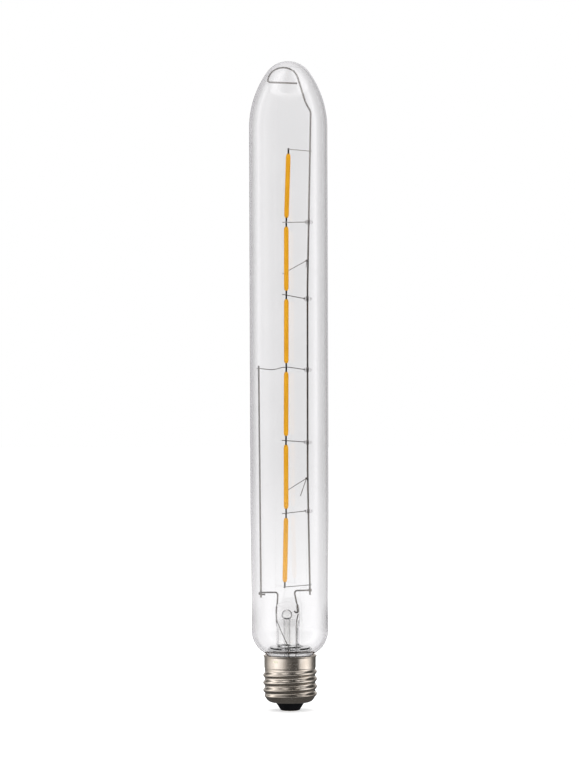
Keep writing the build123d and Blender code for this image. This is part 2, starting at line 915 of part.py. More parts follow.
def all_nodes():
    """Every piece of the bulb under its node's name."""
    right = support_right()
    lead_l, lead_r = lead_left(), lead_right(right)
    seal_l, seal_r = seal_wire_left(), seal_wire_right(lead_r)
    side_wire, middle_wire = return_wire(), contact_wire()
    feet = [
        (seal_left_foot, seal_wire_diameter),
        (seal_right_foot, seal_wire_diameter),
        (return_foot(), hookup_diameter),
        ((0, 0), hookup_diameter),
    ]
    feet += [(foot, resistor_leg_diameter) for foot in resistor_feet()]
    nodes = {
        "glass_envelope": glass_envelope(),
        "stem_glass": stem_glass([lead_l, lead_r, seal_l, seal_r]),
        "exhaust_tube": exhaust_tube(),
        "cap_shell": cap_shell(),
        "cap_insulator": cap_insulator(),
        "centre_contact": centre_contact(),
        "contact_solder": contact_solder(middle_wire),
        "collar_solder": collar_solder(),
        "basing_cement": basing_cement(side_wire),
        "support_wire_left": support_left(),
        "support_wire_right": right,
        "lead_wire_left": lead_l,
        "lead_wire_right": lead_r,
        "seal_wire_left": seal_l,
        "seal_wire_right": seal_r,
        "driver_board": driver_board(feet),
        "bridge_rectifier": on_board(rectifier_size, rectifier_place),
        "driver_chip": on_board(chip_size, chip_place),
        "smoothing_capacitor": capacitor(),
        "choke_core": choke_core(),
        "choke_winding": choke_winding(),
        "fusible_resistor": fusible_resistor(),
        "return_wire": side_wire,
        "contact_wire": middle_wire,
        "cross_wire_top": end_cross_wire(0, end_drop),
        "cross_wire_bottom": end_cross_wire(len(string_nodes) - 1, -end_drop),
    }
    middle = len(bead_plan) // 2
    for index in range(len(bead_plan)):
        wire = middle_cross_wire(index) if index == middle else cross_wire(index)
        nodes[f"cross_wire_{index + 1}"] = wire
        nodes[f"glass_bead_{index + 1}"] = glass_bead(index, [right, wire])
    for index in range(len(spring_weld_plan)):
        nodes[f"support_spring_{index + 1}"] = support_spring(index, right)
    for index in range(len(string_nodes) - 1):
        upper_end, lower_end = terminals(index)
        nodes[f"filament_{index + 1}"] = filament(index)
        nodes[f"filament_{index + 1}_upper_terminal"] = upper_end
        nodes[f"filament_{index + 1}_lower_terminal"] = lower_end
    return nodes


os.makedirs("parts", exist_ok=True)
for name, shape in all_nodes().items():
    export_step(shape, f"parts/{name}.step")
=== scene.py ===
import math

import bmesh
import bpy
from bpy.props import FloatProperty, FloatVectorProperty, IntProperty, PointerProperty
from mathutils import Matrix, Vector, noise


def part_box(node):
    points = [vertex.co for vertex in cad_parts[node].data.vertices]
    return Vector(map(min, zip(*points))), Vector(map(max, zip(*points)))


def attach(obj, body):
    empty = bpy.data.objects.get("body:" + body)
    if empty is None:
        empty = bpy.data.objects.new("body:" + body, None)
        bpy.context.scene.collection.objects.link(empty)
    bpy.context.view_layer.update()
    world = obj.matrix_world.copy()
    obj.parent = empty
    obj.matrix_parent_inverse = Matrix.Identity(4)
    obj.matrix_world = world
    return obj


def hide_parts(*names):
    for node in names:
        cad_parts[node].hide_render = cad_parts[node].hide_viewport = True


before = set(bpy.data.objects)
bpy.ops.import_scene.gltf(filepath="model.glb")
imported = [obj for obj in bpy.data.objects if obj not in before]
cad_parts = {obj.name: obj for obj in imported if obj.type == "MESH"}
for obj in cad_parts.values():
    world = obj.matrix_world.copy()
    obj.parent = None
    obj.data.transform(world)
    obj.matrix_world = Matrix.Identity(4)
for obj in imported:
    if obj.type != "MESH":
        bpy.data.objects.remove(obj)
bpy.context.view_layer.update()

bl_info = {
    "name": "Tubular filament bulb",
    "version": (1, 0, 0),
    "blender": (4, 5, 0),
    "location": "3D View > Sidebar > Bulb",
    "description": "Dresses a clear tubular light bulb and sets it in a plain pale studio",
    "category": "Object",
}

# Nodes that share a finish or are made in a loop
wire_nodes = ["support_wire_left", "support_wire_right", "lead_wire_left", "lead_wire_right"]
wire_nodes += ["cross_wire_top", "cross_wire_bottom", "support_spring_1", "support_spring_2"]
wire_nodes += [f"cross_wire_{number}" for number in range(1, 6)]
filament_numbers = range(1, 7)
bead_numbers = range(1, 6)
terminal_nodes = [
    f"filament_{number}_{end}_terminal" for number in filament_numbers for end in ("upper", "lower")
]

# Heights between which a painted highlight makes the wires lighter towards the dome
painted_highlight_heights = (0.20, 0.25)

# Gap between the insulator and what it touches
seat_gap = 0.00002

# Heights over which the stem's flange goes over into its tube, and how strongly each bends light
flange_end = (0.0310, 0.0325)
flange_bend = 1.5
stem_bend = 1.36

# What the glass absorbs, and how strongly in the envelope and in the stem
absorbed = (0.25, 0.0, 0.30, 1)
envelope_density = 38.0
stem_density = 4.0

# The tent's greatest level, its level for what the glass holds, the level of its lid, and how much
# brighter it shows through the glass near the floor
tent_peak = 2.4
inner_light = 2.05
lid_shade = 0.1
floor_lift = 1.12

# Radii between which the tent's lid begins, and heights between which its bands change
lid_edge = (0.03, 0.05)
cap_end = (0.02, 0.03)
low_end = (0.03, 0.11)
lift_end = (0.0, 0.035)

# What the tent shows round the bulb: degrees to the right of the camera, and brightness. The first
# three are seen in reflections, from the cap upwards. The fourth is seen through the glass, and also
# in reflections behind it where the mask is at the tent's greatest level.
cap_bands = [
    (-90, 1.1), (-62, 1.5), (-35, 1.0), (-12, 0.25), (12, 0.08), (34, 0.12), (48, 1.0), (75, 1.6),
    (98, 0.9), (115, 0.2), (150, 0.08), (180, 0.15), (210, 0.25), (235, 0.35), (255, 0.8), (270, 1.1),
]
low_bands = [
    (-90, 1.6), (-40, 1.8), (0, 1.5), (70, 1.8), (88, 1.4), (100, 0.6), (132, 0.6), (150, 0.9),
    (180, 0.9), (205, 0.8), (240, 0.8), (258, 1.4), (270, 1.6),
]
high_bands = [
    (-90, 1.3), (-76, 0.5), (-60, 0.4), (-30, 0.1), (0, 0.03), (55, 0.05), (72, 0.6), (84, 1.0),
    (94, 0.1), (132, 0.05), (150, 0.4), (180, 0.6), (205, 0.15), (225, 0.15), (240, 0.35), (252, 1.1),
    (262, 1.9), (270, 1.3),
]
behind_bands = [
    (-90, 1.0), (120, 1.0), (134, 0.68), (146, 0.6), (158, 0.78), (168.7, 0.94), (172.3, 0.98),
    (174.2, 1.0), (176, 1.0), (186, 1.0), (190, 0.99), (202, 0.94), (222, 0.8), (240, 1.0), (270, 1.0),
]
behind_mask = [(-90, 0), (130, 0), (150, tent_peak), (210, tent_peak), (230, 0), (270, 0)]


def size(name, description, default):
    """A length in metres that a user may change."""
    return FloatProperty(
        name=name, description=description, default=default, unit="LENGTH", precision=5
    )


def colour(name, description, default):
    """A colour that a user may change."""
    return FloatVectorProperty(
        name=name, description=description, default=default, subtype="COLOR", min=0, max=1
    )


def turn(name, description, degrees):
    """An angle that a user may change."""
    return FloatProperty(
        name=name, description=description, default=math.radians(degrees), subtype="ANGLE"
    )


class GlassSizes(bpy.types.PropertyGroup):
    """Sizes of the blown tube."""

    length: size("Overall length", "From the contact to the dome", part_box("glass_envelope")[1].z)
    diameter: size("Diameter", "Of the tube", 0.038)
    lower_diameter: size("Lower diameter", "Of the tube at its shoulder", 0.0369)
    wall: size("Wall", "Thickness of the glass", 0.0009)
    taper_start: size("Taper start", "Height at which the taper begins", 0.092)
    shoulder_height: size("Shoulder height", "Height at which the shoulder begins", 0.0385)
    shoulder_radius: size("Shoulder radius", "Rounding of the shoulder", 0.012)
    nose_radius: size("Nose radius", "Rounding at the top of the dome", 0.0125)
    dome_depth: size("Dome depth", "Height of the dome", 0.0325)
    neck_diameter: size("Neck diameter", "Of the neck in the cap", 0.0232)
    neck_fillet: size("Neck fillet", "Hollow rounding from shoulder to neck", 0.002)
    neck_end: size("Neck end", "Height of the neck's lower edge", 0.021)
    facets: IntProperty(name="Facets", description="Steps around the tube", default=192, min=24)


class StemSizes(bpy.types.PropertyGroup):
    """Sizes of the stem, its press and its exhaust tube."""

    skirt_radius: size("Skirt radius", "Of the flange in the neck", 0.01068)
    flange_height: size("Flange height", "Of the flange's top", 0.0307)
    flange_edge: size("Flange edge", "Rounding of the flange", 0.0013)
    throat: size("Throat", "Hollow rounding from flange to tube", 0.0014)
    offset: size("Offset", "How far the stem tube stands to the left", -0.0011)
    tube_radius: size("Tube radius", "Of the stem tube", 0.0056)
    wall: size("Wall", "Thickness of the stem tube", 0.001)
    press_start: size("Press start", "Height at which the tube begins to flatten", 0.040)
    press_height: size("Press height", "Height at which the tube is flat", 0.0448)
    press_top: size("Press top", "Height of the press's top", 0.0528)
    press_width: size("Press width", "Of the flat press", 0.0118)
    press_thickness: size("Press thickness", "Of the flat press", 0.0038)
    press_drop: size("Press drop", "How far the press's corners lie below its top", 0.0015)
    bore_end: size("Bore end", "Height at which the bore closes", 0.0438)
    bubble_radius: size("Bubble radius", "Of the blown bubble", 0.00315)
    bubble_bore: size("Bubble bore", "Radius of the bubble's hollow", 0.0022)
    bubble_height: size("Bubble height", "Of the bubble's middle", 0.0465)
    bubble_offset: size("Bubble offset", "How far the bubble stands to the left", -0.0014)
    exhaust_radius: size("Exhaust radius", "Of the exhaust tube", 0.0017)
    exhaust_bore: size("Exhaust bore", "Radius of the exhaust tube's bore", 0.001)
    exhaust_tip: size("Exhaust tip", "Height of its sealed tip", 0.013)
    exhaust_top: size("Exhaust top", "Height at which it ends in the press", 0.0441)
    facets: IntProperty(name="Facets", description="Steps around the stem", default=128, min=24)


class CapSizes(bpy.types.PropertyGroup):
    """Sizes of the screw cap."""

    rim_height: size("Rim height", "Of the cap's rim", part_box("cap_shell")[1].z)
    wall: size("Wall", "Thickness of the shell", 0.0003)
    crest_radius: size("Crest radius", "From the axis to the thread's crests", 0.013075)
    root_radius: size("Root radius", "From the axis to the thread's roots", 0.0122)
    pitch: size("Pitch", "Of the thread", 0.003629)
    crest_round: size("Crest rounding", "Radius of the rolled crest", 0.001025)
    thread_top: size("Thread top", "Height at which the thread ends", 0.0204)
    thread_bottom: size("Thread bottom", "Height at which the thread begins", 0.0059)
    run_out: size("Run-out", "Length over which the thread fades", 0.0014)
    collar_radius: size("Collar radius", "Of the smooth collar", 0.0125)
    lip_radius: size("Lip radius", "Of the flared rim", 0.013)
    lip_height: size("Lip height", "Over which the rim flares", 0.001)
    floor_height: size("Floor height", "Of the shell's underside", 0.004)
    floor_round: size("Floor rounding", "From the side into the floor", 0.0039)
    mouth_radius: size("Mouth radius", "Of the hole for the insulator", 0.00705)
    insulator_bottom: size("Insulator bottom", "Radius of its lower face", 0.0046)
    contact_radius: size("Contact radius", "Of the centre contact", 0.004)
    flank: turn("Flank", "Slope of the thread's flanks", 38.6)
    phase: turn("Phase", "Where the thread's crest begins", 138.0)
    facets: IntProperty(name="Facets", description="Steps around the cap", default=160, min=24)


class MountSizes(bpy.types.PropertyGroup):
    """Sizes of the filaments, beads and solder."""

    filament_radius: size("Filament radius", "Of the coated rod", 0.001175)
    filament_tip: size("Filament tip", "Radius of the rod's ends", 0.00075)
    filament_taper: size("Filament taper", "Length of the rod's tapered ends", 0.0016)
    filament_length: size("Filament length", "Of the coated rod", 0.031)
    bead_radius: size("Bead radius", "Of the glass beads", 0.002)
    bead_height: size("Bead height", "Of the glass beads", 0.003)
    solder_length: size("Solder length", "Of the spot on the collar", 0.0034)
    solder_width: size("Solder width", "Of the spot on the collar", 0.0013)


class Finishes(bpy.types.PropertyGroup):
    """Colours of the bulb's surfaces."""

    clear_glass: colour("Clear glass", "Tube", (0.97, 0.975, 0.97))
    stem_glass: colour("Stem glass", "Stem, exhaust tube and beads", (0.985, 0.985, 0.98))
    coating: colour("Coating", "Filament coating", (0.76, 0.372, 0.014))
    coating_deep: colour("Coating, deep", "Filament coating where it is deeper", (0.70, 0.325, 0.010))
    nickel: colour("Nickel", "Screw shell", (0.75, 0.675, 0.60))
    nickel_dull: colour("Nickel, dull", "Screw shell where it is duller", (0.60, 0.525, 0.45))
    wire: colour("Wire", "Support, lead and cross wires", (0.26, 0.24, 0.22))
    # Painted highlight: the wires' lighter colour near the dome
    wire_painted_highlight: colour("Wire, bright", "Wires near the dome", (0.40, 0.38, 0.36))
    terminal: colour("Terminal", "Flat ends of the filaments", (0.10, 0.085, 0.075))
    seal: colour("Seal wire", "Thin wires in the stem tube", (0.30, 0.27, 0.25))
    solder: colour("Solder", "Solder spots", (0.90, 0.85, 0.66))
    black_glass: colour("Black glass", "Insulator", (0.006, 0.006, 0.007))
    contact: colour("Contact", "Centre contact", (0.62, 0.54, 0.40))
    cement: colour("Cement", "Basing cement", (0.46, 0.35, 0.27))


class StudioSettings(bpy.types.PropertyGroup):
    """Camera and light."""

    distance: size("Camera distance", "From the bulb's axis", 1.4)
    height: size("Camera height", "Above the floor", 0.1574)
    across: size("Camera offset", "To the right of the bulb's axis", 0.0002)
    lens: FloatProperty(name="Lens", description="Focal length", default=134.5, unit="CAMERA")
    roll: turn("Roll", "Tilt of the picture", 0.2)
    softbox: FloatProperty(
        name="Softbox power", description="Of each large lamp", default=6.0, unit="POWER"
    )
    backdrop: FloatProperty(name="Backdrop", description="Brightness of the surroundings", default=1.0)
    fill: FloatProperty(name="Fill", description="How much the surroundings light the bulb", default=0.95)
    floor_glow: FloatProperty(name="Floor glow", description="Adds to the floor's white", default=0.45)
    tent_radius: size("Tent radius", "Of the tent that reflections show", 0.3)
    tent_height: size("Tent height", "Of the tent that reflections show", 0.55)


def sizes(group):
    """One of the scene's groups of sizes, colours or settings."""
    return getattr(bpy.context.scene, "bulb_" + group)


# Modelling helpers

def line_to(bm, vert, across, height):
    """Draws on from a vertex to a radius and height, and returns the new end."""
    end = bmesh.ops.extrude_vert_indiv(bm, verts=[vert])["verts"][0]
    end.co = (across, 0, height)
    return end


def lines_to(bm, vert, points):
    """Draws on from a vertex through pairs of radius and height, and returns the new end."""
    for across, height in points:
        vert = line_to(bm, vert, across, height)
    return vert


def arc_on(bm, vert, centre, degrees, steps):
    """Draws on from a vertex along an arc about a centre, and returns the new end."""
    made = bmesh.ops.spin(
        bm,
        geom=[vert],
        cent=(centre[0], 0, centre[1]),
        axis=(0, -1, 0),
        angle=math.radians(degrees),
        steps=steps,
    )
    return [g for g in made["geom_last"] if isinstance(g, bmesh.types.BMVert)][0]


def turn_round(bm, facets):
    """Turns what is drawn about the bulb's axis and closes its poles."""
    geom = list(bm.verts) + list(bm.edges)
    bmesh.ops.spin(
        bm, geom=geom, cent=(0, 0, 0), axis=(0, 0, 1), angle=2 * math.pi, steps=facets, use_merge=True
    )
    bmesh.ops.remove_doubles(bm, verts=bm.verts, dist=1e-7)
    bmesh.ops.dissolve_degenerate(bm, edges=bm.edges, dist=1e-8)
    bmesh.ops.recalc_face_normals(bm, faces=bm.faces)


def sharpen(bm, degrees):
    """Smooth faces, with edges kept sharp past an angle."""
    for face in bm.faces:
        face.smooth = True
    for edge in bm.edges:
        if len(edge.link_faces) == 2 and edge.calc_face_angle() > math.radians(degrees):
            edge.smooth = False


def finish_piece(bm, name, material, replaced):
    """Makes a piece from a bmesh, gives it its material and lets it ride on the bulb."""
    mesh = bpy.data.meshes.new(name)
    bm.to_mesh(mesh)
    bm.free()
    mesh.materials.append(material)
    piece = bpy.data.objects.new(name, mesh)
    bpy.context.scene.collection.objects.link(piece)
    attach(piece, "root")
    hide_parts(*replaced)
    return piece


def smooth_copy(name, material):
    """A piece with the frame node's own shape, shaded smoothly round its flats."""
    bm = bmesh.new()
    bm.from_mesh(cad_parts[name].data)
    bmesh.ops.remove_doubles(bm, verts=bm.verts, dist=1e-7)
    sharpen(bm, 50)
    return finish_piece(bm, name + "_drawn", material, [name])


def dress(nodes, material):
    """Gives the frame's own pieces a material."""
    for name in nodes:
        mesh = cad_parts[name].data
        mesh.materials.clear()
        mesh.materials.append(material)


def smooth_step(low, high, value):
    """A soft ramp from 0 at low to 1 at high."""
    share = min(1.0, max(0.0, (value - low) / (high - low)))
    return share * share * (3 - 2 * share)


# Material helpers

def add_node(tree, kind, inputs=None, **settings):
    """Adds a node with its settings and its inputs, each a value or the socket that feeds it."""
    node = tree.nodes.new("ShaderNode" + kind)
    for key, value in settings.items():
        setattr(node, key, value)
    for key, value in (inputs or {}).items():
        if isinstance(value, bpy.types.NodeSocket):
            tree.links.new(value, node.inputs[key])
        else:
            node.inputs[key].default_value = value
    return node


def new_group(name, inputs, outputs):
    """A shader node group of values, with what it is given and what it gives out."""
    group = bpy.data.node_groups.new(name, "ShaderNodeTree")
    for socket in inputs:
        group.interface.new_socket(socket, in_out="INPUT", socket_type="NodeSocketFloat")
    for socket in outputs:
        group.interface.new_socket(socket, in_out="OUTPUT", socket_type="NodeSocketFloat")
    given = group.nodes.new("NodeGroupInput").outputs
    return group, given, group.nodes.new("NodeGroupOutput").inputs


def surface_variation():
    """The shared node group of soft cloudy variation, fine grain and fine marks."""
    known = bpy.data.node_groups.get("Surface variation")
    if known:
        return known
    group, given, out = new_group(
        "Surface variation", ["Cloud scale", "Grain scale"], ["Cloud", "Grain", "Marks"]
    )
    place = add_node(group, "TexCoord").outputs["Object"]
    for name, scale, detail, roughness, span in [
        ("Cloud", "Cloud scale", 4.0, 0.5, (0.35, 0.65)),
        ("Grain", "Grain scale", 3.0, 0.5, None),
        ("Marks", "Grain scale", 6.0, 0.7, (0.5, 0.72)),
    ]:
        cloth = {"Vector": place, "Scale": given[scale], "Detail": detail, "Roughness": roughness}
        value = add_node(group, "TexNoise", cloth).outputs["Fac"]
        if span:
            limits = {"Value": value, "From Min": span[0], "From Max": span[1]}
            value = add_node(group, "MapRange", limits).outputs["Result"]
        group.links.new(value, out[name])
    return group


def new_material(name, clouds, grain):
    """A material with its shader and a Surface variation node, as (material, shader, outputs)."""
    material = bpy.data.materials.new(name)
    material.use_nodes = True
    scales = {"Cloud scale": clouds, "Grain scale": grain}
    variation = add_node(material.node_tree, "Group", scales, node_tree=surface_variation())
    return material, material.node_tree.nodes["Principled BSDF"], variation.outputs


def blend_colour(material, mask, first, second, socket):
    """Feeds a colour socket with a mix of two colours by a mask."""
    tree = material.node_tree
    mix = add_node(tree, "Mix", {"A": (*first, 1), "B": (*second, 1), "Factor": mask}, data_type="RGBA")
    tree.links.new(mix.outputs["Result"], socket)


def blend_value(material, mask, low, high, socket):
    """Feeds a value socket with a range between two values by a mask."""
    tree = material.node_tree
    ramp = add_node(tree, "MapRange", {"To Min": low, "To Max": high, "Value": mask})
    tree.links.new(ramp.outputs["Result"], socket)


def add_bump(material, shader, height, strength, depth):
    """Adds a fine relief to a shader."""
    tree = material.node_tree
    bump = add_node(tree, "Bump", {"Strength": strength, "Distance": depth, "Height": height})
    tree.links.new(bump.outputs["Normal"], shader.inputs["Normal"])


def clear_glass_material(name, tint, smudge, density, bend=1.5):
    """Clear glass that greys a little with its depth, bends light and has faint smudges."""
    known = bpy.data.materials.get(name)
    if known:
        return known
    material, shader, variation = new_material(name, 45.0, 160.0)
    shader.inputs["Transmission Weight"].default_value = 1.0
    shader.inputs["IOR"].default_value = bend
    deeper = [c * 0.985 for c in tint]
    blend_colour(material, variation["Cloud"], tint, deeper, shader.inputs["Base Color"])
    blend_value(material, variation["Marks"], 0.0, smudge, shader.inputs["Roughness"])
    tree = material.node_tree
    depth = add_node(tree, "VolumeAbsorption", {"Color": absorbed, "Density": density})
    tree.links.new(depth.outputs["Volume"], tree.nodes["Material Output"].inputs["Volume"])
    return material


def metal_material(name, bright, dull, polish, rough, clouds=120.0, grain=1800.0, relief=0.00001):
    """Metal whose colour and shine vary softly, with fine marks."""
    known = bpy.data.materials.get(name)
    if known:
        return known
    material, shader, variation = new_material(name, clouds, grain)
    shader.inputs["Metallic"].default_value = 1.0
    blend_colour(material, variation["Cloud"], bright, dull, shader.inputs["Base Color"])
    blend_value(material, variation["Marks"], polish, rough, shader.inputs["Roughness"])
    add_bump(material, shader, variation["Grain"], 0.3, relief)
    return material


def body_material(
    name, light, deep, polish, rough, clouds=200.0, grain=2500.0, relief=0.00002, coat=0.0, gloss=0.5
):
    """Coated, moulded or mineral surface with soft variation and a fine grain."""
    known = bpy.data.materials.get(name)
    if known:
        return known
    material, shader, variation = new_material(name, clouds, grain)
    shader.inputs["Coat Weight"].default_value = coat
    shader.inputs["Coat Roughness"].default_value = 0.12
    shader.inputs["Specular IOR Level"].default_value = gloss
    blend_colour(material, variation["Cloud"], light, deep, shader.inputs["Base Color"])
    blend_value(material, variation["Grain"], polish, rough, shader.inputs["Roughness"])
    add_bump(material, shader, variation["Grain"], 0.4, relief)
    return material


def height_mask(material, low, high):
    """A mask that rises from 0 to 1 between two heights, by the shared node group for it."""
    group = bpy.data.node_groups.get("Height mask")
    if not group:
        group, given, out = new_group("Height mask", ["Low", "High"], ["Mask"])
        place = add_node(group, "TexCoord").outputs["Object"]
        height = add_node(group, "SeparateXYZ", {"Vector": place}).outputs["Z"]
        span = {"Value": height, "From Min": given["Low"], "From Max": given["High"]}
        group.links.new(add_node(group, "MapRange", span).outputs["Result"], out["Mask"])
    span = {"Low": low, "High": high}
    return add_node(material.node_tree, "Group", span, node_tree=group).outputs["Mask"]


def wire_material():
    """Nickel-plated wire, dark low down, with a painted highlight that makes it lighter and less metallic
    towards the dome.
    """
    known = bpy.data.materials.get("Mount wire")
    if known:
        return known
    colours = sizes("finishes")
    material = metal_material("Mount wire", colours.wire, colours.wire_painted_highlight, 0.28, 0.45, 300.0, 2500.0)
    shader = material.node_tree.nodes["Principled BSDF"]
    # Painted highlight: above these heights the wires turn lighter and less metallic
    mask = height_mask(material, *painted_highlight_heights)
    mix = shader.inputs["Base Color"].links[0].from_node
    material.node_tree.links.new(mask, mix.inputs["Factor"])
    blend_value(material, mask, 1.0, 0.4, shader.inputs["Metallic"])
    return material


def solder_material():
    """Soft bright solder with a slight frosting."""
    colours = sizes("finishes")
    dull = [c * 0.85 for c in colours.solder]
    return body_material("Solder", colours.solder, dull, 0.25, 0.45, clouds=900.0, gloss=0.8)


def stem_glass_material():
    """The stem's glass, whose flange bends light more than its tube and press."""
    known = bpy.data.materials.get("Stem glass")
    if known:
        return known
    material = clear_glass_material("Stem glass", sizes("finishes").stem_glass, 0.003, stem_density)
    shader = material.node_tree.nodes["Principled BSDF"]
    mask = height_mask(material, *flange_end)
    blend_value(material, mask, flange_bend, stem_bend, shader.inputs["IOR"])
    return material


# Pieces

def draw_tube(bm, inset):
    """Draws half the tube's outline, moved inwards by inset, and returns its ends."""
    g = sizes("glass")
    radius = g.diameter / 2
    base = g.length - g.dome_depth
    rise = g.dome_depth - g.nose_radius
    side = (rise**2 + radius**2 - g.nose_radius**2) / (2 * (radius - g.nose_radius))
    side_centre = (radius - side, base)
    nose_centre = (0.0, g.length - g.nose_radius)
    blend = math.degrees(math.atan2(nose_centre[1] - side_centre[1], -side_centre[0]))
    shoulder_centre = (g.lower_diameter / 2 - g.shoulder_radius, g.shoulder_height)
    hollow_x = g.neck_diameter / 2 + g.neck_fillet
    reach = g.shoulder_radius + g.neck_fillet
    drop = math.sqrt(reach**2 - (hollow_x - shoulder_centre[0]) ** 2)
    hollow_centre = (hollow_x, g.shoulder_height - drop)
    hollow = math.degrees(math.atan2(drop, hollow_x - shoulder_centre[0]))
    top = bm.verts.new((0, 0, g.length - inset))
    pen = arc_on(bm, top, nose_centre, blend - 90, 24)
    pen = arc_on(bm, pen, side_centre, -blend, 24)
    for share in (0.25, 0.5, 0.75, 1.0):
        pen = line_to(bm, pen, radius - inset, base + (g.taper_start - base) * share)
    pen = line_to(bm, pen, g.lower_diameter / 2 - inset, g.shoulder_height)
    pen = arc_on(bm, pen, shoulder_centre, -hollow, 20)
    pen = arc_on(bm, pen, hollow_centre, hollow, 8)
    bottom = line_to(bm, pen, g.neck_diameter / 2 - inset, g.neck_end)
    return top, bottom


class BULB_OT_glass_envelope(bpy.types.Operator):
    """Blow the clear tube with its dome, shoulder and neck"""

    bl_idname = "bulb.glass_envelope"
    bl_label = "Glass envelope"

    def execute(self, context):
        g = sizes("glass")
        bm = bmesh.new()
        outer_bottom = draw_tube(bm, 0.0)[1]
        inner_bottom = draw_tube(bm, g.wall)[1]
        bm.edges.new((outer_bottom, inner_bottom))
        turn_round(bm, g.facets)
        sharpen(bm, 40)
        glass = clear_glass_material(
            "Clear glass", sizes("finishes").clear_glass, 0.002, envelope_density
        )
        finish_piece(bm, "glass_envelope_clear", glass, ["glass_envelope"])
        return {"FINISHED"}


def flat_section(vert, half_width, half_thickness, share):
    """Moves a vertex of a round section towards a flat one with round ends."""
    angle = math.degrees(math.atan2(vert.co.y, vert.co.x)) % 360
    flat = half_width - half_thickness
    turns, within = divmod(angle + 45, 90)
    if turns % 2:
        along = flat * (1 - 2 * within / 90)
        x, y = along, half_thickness
    else:
        bow = math.radians(2 * (within - 45))
        x, y = flat + half_thickness * math.cos(bow), half_thickness * math.sin(bow)
    if turns in (2, 3):
        x, y = -x, -y
    vert.co.x += (x - vert.co.x) * share
    vert.co.y += (y - vert.co.y) * share


class BULB_OT_stem_glass(bpy.types.Operator):
    """Shape the flange, stem tube, press and bubble"""

    bl_idname = "bulb.stem_glass"
    bl_label = "Stem glass"

    def execute(self, context):
        s = sizes("stem")
        low = sizes("glass").neck_end
        edge_centre = (s.skirt_radius - s.flange_edge, s.flange_height - s.flange_edge)
        throat_centre = (s.tube_radius + s.throat, s.flange_height + s.throat)
        round_top = s.press_thickness / 2
        bm = bmesh.new()
        ends = []
        for inset in (0.0, s.wall):
            start = bm.verts.new((s.skirt_radius - inset, 0, low))
            ends.append(start)
            pen = line_to(bm, start, s.skirt_radius - inset, edge_centre[1])
            pen = arc_on(bm, pen, edge_centre, 90, 8)
            pen = line_to(bm, pen, throat_centre[0], s.flange_height - inset)
            pen = arc_on(bm, pen, throat_centre, -90, 10)
            tube = s.tube_radius - inset
            stop = s.press_top - round_top if inset == 0 else s.bore_end
            rows = round((stop - throat_centre[1]) / 0.00025)
            for row in range(1, rows + 1):
                pen = line_to(bm, pen, tube, throat_centre[1] + (stop - throat_centre[1]) * row / rows)
            if inset == 0:
                pen = arc_on(bm, pen, (tube - round_top, stop), 90, 10)
            else:
                pen = line_to(bm, pen, 0, stop + 0.0002)
        bm.edges.new(ends)
        turn_round(bm, s.facets)
        self.press(bm, s, round_top)
        bmesh.ops.remove_doubles(bm, verts=bm.verts, dist=2e-6)
        bmesh.ops.dissolve_degenerate(bm, edges=bm.edges, dist=1e-7)
        bmesh.ops.recalc_face_normals(bm, faces=bm.faces)
        place = Matrix.Translation((s.bubble_offset, 0, s.bubble_height))
        made = bmesh.ops.create_uvsphere(
            bm, u_segments=48, v_segments=24, radius=s.bubble_bore, matrix=place
        )
        hollow = {face for vert in made["verts"] for face in vert.link_faces}
        bmesh.ops.reverse_faces(bm, faces=list(hollow))
        sharpen(bm, 50)
        finish_piece(bm, "stem_glass_clear", stem_glass_material(), ["stem_glass"])
        return {"FINISHED"}

    def press(self, bm, s, round_top):
        """Flattens the top of the tube, rounds it and raises the bubble."""
        half_width = s.press_width / 2
        for vert in bm.verts:
            radius = math.hypot(vert.co.x, vert.co.y)
            height = vert.co.z
            if height > s.press_start:
                inside = radius < s.tube_radius - s.wall / 2 and height < s.bore_end + 0.0003
                if inside:
                    share = smooth_step(s.press_start, s.bore_end, height)
                    scale = radius / (s.tube_radius - s.wall)
                    flat_section(vert, (half_width - s.wall) * scale, 0.0004 * scale, share)
                else:
                    share = smooth_step(s.press_start, s.press_height, height)
                    less = s.tube_radius - radius
                    flat_section(vert, half_width - less, round_top - less, share)
                    sink = smooth_step(s.press_height, s.press_top, height)
                    vert.co.z -= s.press_drop * sink * (vert.co.x / half_width) ** 2
                    self.raise_bubble(vert, s)
            vert.co.x += s.offset * smooth_step(s.flange_height, s.flange_height + s.throat, height)

    def raise_bubble(self, vert, s):
        """Lifts a vertex of the press onto the bubble where the bubble stands proud."""
        across = vert.co.x + s.offset - s.bubble_offset
        up = vert.co.z - s.bubble_height
        left = s.bubble_radius**2 - across**2 - up**2
        if left > 0 and abs(vert.co.y) > 0.0005:
            proud = math.sqrt(left) - abs(vert.co.y)
            lift = (proud + math.sqrt(proud**2 + 1e-7)) / 2
            vert.co.y += math.copysign(lift, vert.co.y)


class BULB_OT_exhaust_tube(bpy.types.Operator):
    """Draw the exhaust tube down to its sealed tip"""

    bl_idname = "bulb.exhaust_tube"
    bl_label = "Exhaust tube"

    def execute(self, context):
        s = sizes("stem")
        tip = s.exhaust_tip + s.exhaust_radius
        bm = bmesh.new()
        pen = arc_on(bm, bm.verts.new((0, 0, s.exhaust_tip)), (0, tip), 90, 10)
        points = [(s.exhaust_radius, s.exhaust_top), (s.exhaust_bore, s.exhaust_top)]
        pen = lines_to(bm, pen, points + [(s.exhaust_bore, tip)])
        arc_on(bm, pen, (0, tip), -90, 8)
        turn_round(bm, 64)
        bmesh.ops.translate(bm, verts=bm.verts, vec=(s.bubble_offset, 0, 0))
        sharpen(bm, 40)
        glass = clear_glass_material(
            "Exhaust glass", sizes("finishes").stem_glass, 0.003, stem_density, stem_bend
        )
        finish_piece(bm, "exhaust_tube_clear", glass, ["exhaust_tube"])
        return {"FINISHED"}


